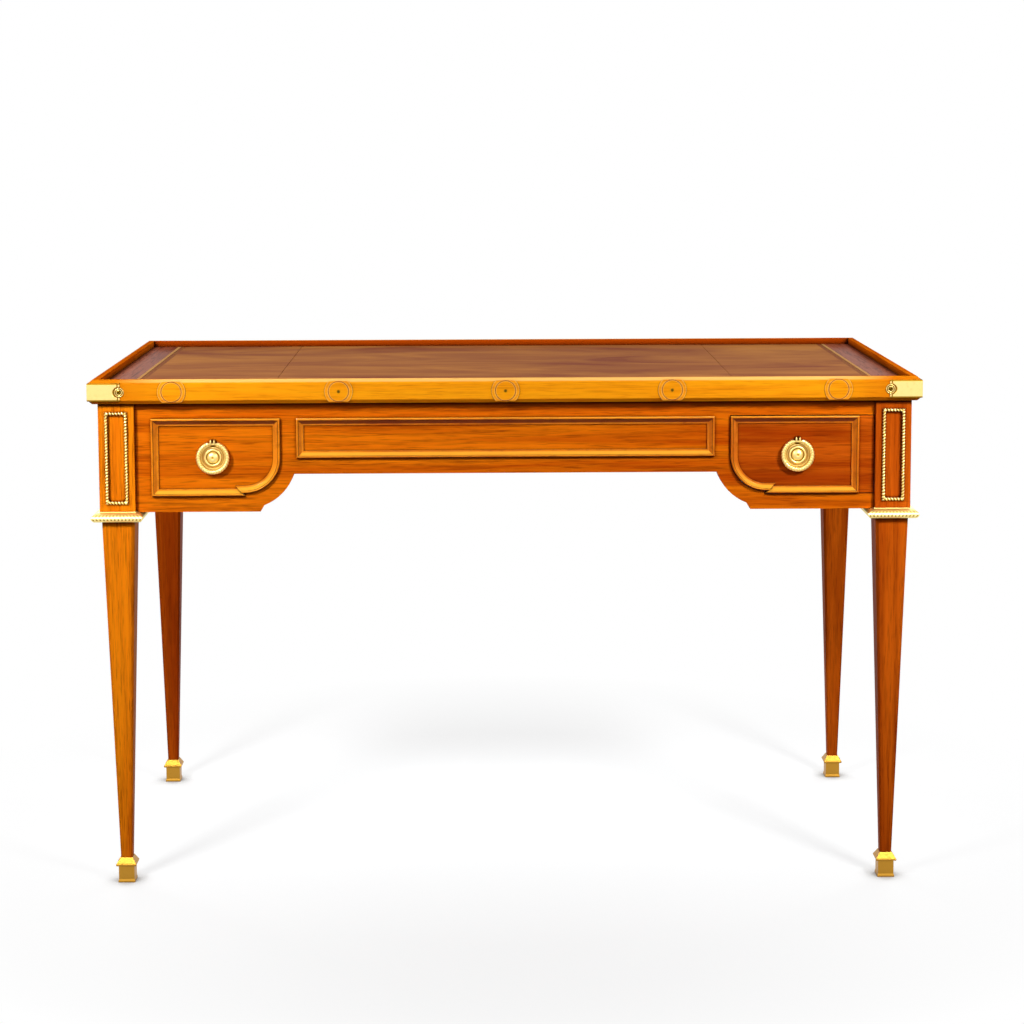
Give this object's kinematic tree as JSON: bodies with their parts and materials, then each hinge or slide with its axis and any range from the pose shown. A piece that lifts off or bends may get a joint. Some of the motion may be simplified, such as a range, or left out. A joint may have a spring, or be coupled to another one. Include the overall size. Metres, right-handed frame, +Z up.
{
  "type": "games table",
  "caption": "Neo-classical mahogany games table with a rimmed leather top, lift-out panel over a backgammon well, frieze drawers with ring pulls and tapered legs in brass sabots.",
  "frame": {"origin": "floor level, in the middle of the four feet", "axes": "+X along the length, +Y from the front to the back, +Z up"},
  "size_m": [1.2034, 0.6048, 0.75],
  "materials": {
    "mahogany": "French-polished, satin",
    "top_mahogany": "French-polished, gloss",
    "oak": "planed, unfinished",
    "boxwood": "polished inlay",
    "ebonised_wood": "polished inlay",
    "brass": "satin, lacquered",
    "aged_brass": "worn, darkened",
    "leather": "waxed, worn",
    "baize": "napped wool cloth"
  },
  "bodies": {
    "case": {"leg_front_left": "mahogany", "leg_front_right": "mahogany", "leg_back_left": "mahogany", "leg_back_right": "mahogany", "front_frieze": "mahogany", "back_frieze": "mahogany", "left_frieze": "mahogany", "right_frieze": "mahogany", "front_panel_moulding": "mahogany", "back_panel_moulding": "mahogany", "left_panel_moulding": "mahogany", "right_panel_moulding": "mahogany", "sham_drawer_mouldings": "mahogany", "top_rail_front": "mahogany", "top_rail_back": "mahogany", "top_rail_left": "mahogany", "top_rail_right": "mahogany", "edge_roundels": "mahogany", "well_partition_left": "mahogany", "well_partition_right": "mahogany", "well_bar": "mahogany", "end_strips": "top_mahogany", "well_floor": "top_mahogany", "drawer_bay_floors": "oak", "drawer_guides": "oak", "end_boards": "oak", "end_stringing": "boxwood", "well_points_light": "boxwood", "well_points_dark": "ebonised_wood", "leg_collars": "brass", "post_rope_frames": "brass", "corner_straps": "brass", "strap_screws": "brass", "roundel_pins": "brass", "front_sham_pull_plate": "brass", "back_sham_pull_plate": "brass", "sham_pull_nuts": "brass", "sabots": "aged_brass", "end_leathers": "leather"},
    "games_panel": {"games_panel_baize": "baize", "games_panel_board": "oak", "games_panel_leather": "leather"},
    "front_drawer": {"front_drawer_front": "mahogany", "front_drawer_sides": "oak", "front_drawer_back": "oak", "front_drawer_bottom": "oak", "front_drawer_moulding": "mahogany", "front_drawer_pull_plate": "brass", "front_drawer_pull_nut": "brass"},
    "back_drawer": {"back_drawer_front": "mahogany", "back_drawer_sides": "oak", "back_drawer_back": "oak", "back_drawer_bottom": "oak", "back_drawer_moulding": "mahogany", "back_drawer_pull_plate": "brass", "back_drawer_pull_nut": "brass"},
    "front_drawer_ring": {"front_drawer_pull_ring": "brass"},
    "back_drawer_ring": {"back_drawer_pull_ring": "brass"},
    "front_sham_ring": {"front_sham_pull_ring": "brass"},
    "back_sham_ring": {"back_sham_pull_ring": "brass"}
  },
  "joints": [
    {"name": "games_panel_lift", "type": "slide", "parent": "case", "child": "games_panel", "axis": [0, 0, 1], "range_m": [0, 0.18]},
    {"name": "front_drawer_slide", "type": "slide", "parent": "case", "child": "front_drawer", "axis": [0, -1, 0], "range_m": [0, 0.3]},
    {"name": "back_drawer_slide", "type": "slide", "parent": "case", "child": "back_drawer", "axis": [0, 1, 0], "range_m": [0, 0.3]},
    {"name": "front_drawer_ring_swing", "type": "hinge", "parent": "front_drawer", "child": "front_drawer_ring", "pos_m": [0.42375, -0.2866, 0.65465], "axis": [-1, 0, 0], "range_deg": [0, 135]},
    {"name": "back_drawer_ring_swing", "type": "hinge", "parent": "back_drawer", "child": "back_drawer_ring", "pos_m": [-0.42375, 0.2866, 0.65465], "axis": [1, 0, 0], "range_deg": [0, 135]},
    {"name": "front_sham_ring_swing", "type": "hinge", "parent": "case", "child": "front_sham_ring", "pos_m": [-0.42375, -0.2866, 0.65465], "axis": [-1, 0, 0], "range_deg": [0, 135]},
    {"name": "back_sham_ring_swing", "type": "hinge", "parent": "case", "child": "back_sham_ring", "pos_m": [0.42375, 0.2866, 0.65465], "axis": [1, 0, 0], "range_deg": [0, 135]}
  ]
}
